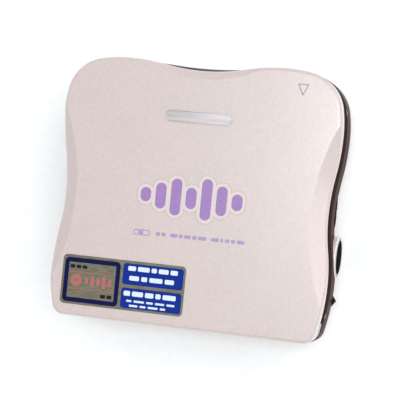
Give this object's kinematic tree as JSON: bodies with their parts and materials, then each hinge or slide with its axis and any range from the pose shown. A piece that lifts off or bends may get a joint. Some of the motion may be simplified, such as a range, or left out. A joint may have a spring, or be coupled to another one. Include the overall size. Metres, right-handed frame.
{
  "type": "portable minidisc player",
  "caption": "Pocket disc player with a waisted pearl lid on a rear hinge, glossy side band, disc holder, laser drive, side controls, headphone jack and cell bay.",
  "frame": {"origin": "middle of the back face, which the closed player rests on", "axes": "+X towards the side with the round control and the jack, +Y from the hinge to the opening edge, +Z out of the lid"},
  "size_m": [0.0852, 0.0787, 0.0261],
  "materials": {
    "back_shell": "satin",
    "mid_band": "gloss",
    "lid": "satin",
    "lid_plate": "brushed",
    "lid_screws": "satin",
    "lid_hooks": "satin",
    "foil_label": "satin",
    "name_plate": "satin",
    "disc_holder": "brushed",
    "hinge_pins": "satin",
    "side_screws": "polished",
    "back_screws": "polished",
    "battery_door": "satin",
    "aa_cell": "gloss",
    "battery_contact": "satin",
    "battery_leaf": "satin",
    "main_board": "satin",
    "board_screws": "satin",
    "board_chips": "matte",
    "headphone_jack": "matte",
    "jack_bezel": "satin",
    "jog_ring": "satin",
    "jog_cap": "polished",
    "jog_switch": "matte",
    "hold_slider": "satin",
    "hold_switch": "matte",
    "volume_rocker": "gloss",
    "volume_switches": "matte",
    "open_knob": "gloss",
    "latch_plate": "satin",
    "deck_plate": "brushed",
    "deck_dampers": "matte",
    "deck_screws": "satin",
    "spindle_motor": "satin",
    "turntable": "satin",
    "hub_magnet": "satin",
    "guide_rods": "polished",
    "rod_supports": "matte",
    "lead_screw": "satin",
    "lead_gear": "matte",
    "motor_pinion": "satin",
    "sled_motor": "satin",
    "pickup_body": "cast",
    "laser_diode": "satin",
    "lens_holder": "matte",
    "objective_lens": "polished",
    "rear_cap": "matte"
  },
  "bodies": {
    "case": {"back_shell": "back_shell", "mid_band": "mid_band", "hinge_pins": "hinge_pins", "side_screws": "side_screws", "back_screws": "back_screws", "aa_cell": "aa_cell", "battery_contact": "battery_contact", "battery_leaf": "battery_leaf", "main_board": "main_board", "board_screws": "board_screws", "board_chips": "board_chips", "headphone_jack": "headphone_jack", "jack_bezel": "jack_bezel", "jog_switch": "jog_switch", "hold_switch": "hold_switch", "volume_switches": "volume_switches", "deck_plate": "deck_plate", "deck_dampers": "deck_dampers", "deck_screws": "deck_screws", "spindle_motor": "spindle_motor", "guide_rods": "guide_rods", "rod_supports": "rod_supports", "sled_motor": "sled_motor", "rear_cap": "rear_cap"},
    "lid": {"lid": "lid", "lid_plate": "lid_plate", "lid_screws": "lid_screws", "lid_hooks": "lid_hooks", "foil_label": "foil_label", "name_plate": "name_plate"},
    "holder": {"disc_holder": "disc_holder"},
    "door": {"battery_door": "battery_door"},
    "open_slider": {"open_knob": "open_knob", "latch_plate": "latch_plate"},
    "jog": {"jog_ring": "jog_ring"},
    "jog_button": {"jog_cap": "jog_cap"},
    "hold": {"hold_slider": "hold_slider"},
    "volume": {"volume_rocker": "volume_rocker"},
    "spindle": {"turntable": "turntable", "hub_magnet": "hub_magnet"},
    "sled": {"pickup_body": "pickup_body", "laser_diode": "laser_diode"},
    "lens": {"lens_holder": "lens_holder", "objective_lens": "objective_lens"},
    "screw": {"lead_screw": "lead_screw", "lead_gear": "lead_gear"},
    "pinion": {"motor_pinion": "motor_pinion"}
  },
  "joints": [
    {"name": "lid_hinge", "type": "hinge", "parent": "case", "child": "lid", "pos_m": [0, -0.036, 0.0202], "axis": [1, 0, 0], "range_deg": [0, 45]},
    {"name": "holder_hinge", "type": "hinge", "parent": "case", "child": "holder", "pos_m": [0, -0.036, 0.0202], "axis": [1, 0, 0], "range_deg": [0, 22.6]},
    {"name": "battery_door_hinge", "type": "hinge", "parent": "case", "child": "door", "pos_m": [0, -0.02055, 0.00075], "axis": [1, 0, 0], "range_deg": [0, 100]},
    {"name": "open_slide", "type": "slide", "parent": "case", "child": "open_slider", "axis": [0, -1, 0], "range_m": [0, 0.0018], "stiffness_N_per_m": 300},
    {"name": "jog_turn", "type": "hinge", "parent": "case", "child": "jog", "pos_m": [0.038, -0.014, 0.007], "axis": [1, 0, 0], "range_deg": [-20, 20], "stiffness_Nm_per_rad": 0.004},
    {"name": "jog_press", "type": "slide", "parent": "jog", "child": "jog_button", "axis": [-1, 0, 0], "range_m": [0, 0.0004], "stiffness_N_per_m": 1500},
    {"name": "hold_slide", "type": "slide", "parent": "case", "child": "hold", "axis": [0, -1, 0], "range_m": [0, 0.002]},
    {"name": "volume_rock", "type": "hinge", "parent": "case", "child": "volume", "pos_m": [-0.0379, -0.0024, 0.0076], "axis": [0, 0, 1], "range_deg": [-3, 3], "stiffness_Nm_per_rad": 0.02},
    {"name": "spindle_spin", "type": "hinge", "parent": "case", "child": "spindle", "pos_m": [0, -0.0002, 0.0159], "axis": [0, 0, 1], "continuous": true},
    {"name": "sled_slide", "type": "slide", "parent": "case", "child": "sled", "axis": [-1, 0, 0], "range_m": [0, 0.0145]},
    {"name": "focus_slide", "type": "slide", "parent": "sled", "child": "lens", "axis": [0, 0, 1], "range_m": [-0.0004, 0.0004], "stiffness_N_per_m": 20},
    {"name": "lead_screw_spin", "type": "hinge", "parent": "case", "child": "screw", "pos_m": [-0.02, 0.0135, 0.0112], "axis": [1, 0, 0], "range_deg": [0, 4360]},
    {"name": "pinion_spin", "type": "hinge", "parent": "case", "child": "pinion", "pos_m": [-0.006, 0.01798, 0.0101], "axis": [1, 0, 0], "range_deg": [-8720, 0]}
  ],
  "couplings": [
    {"joint": "holder_hinge", "follows": "lid_hinge", "ratio": 0.5},
    {"joint": "lead_screw_spin", "follows": "sled_slide", "rad_per_m": 5236},
    {"joint": "pinion_spin", "follows": "sled_slide", "rad_per_m": -10472}
  ]
}
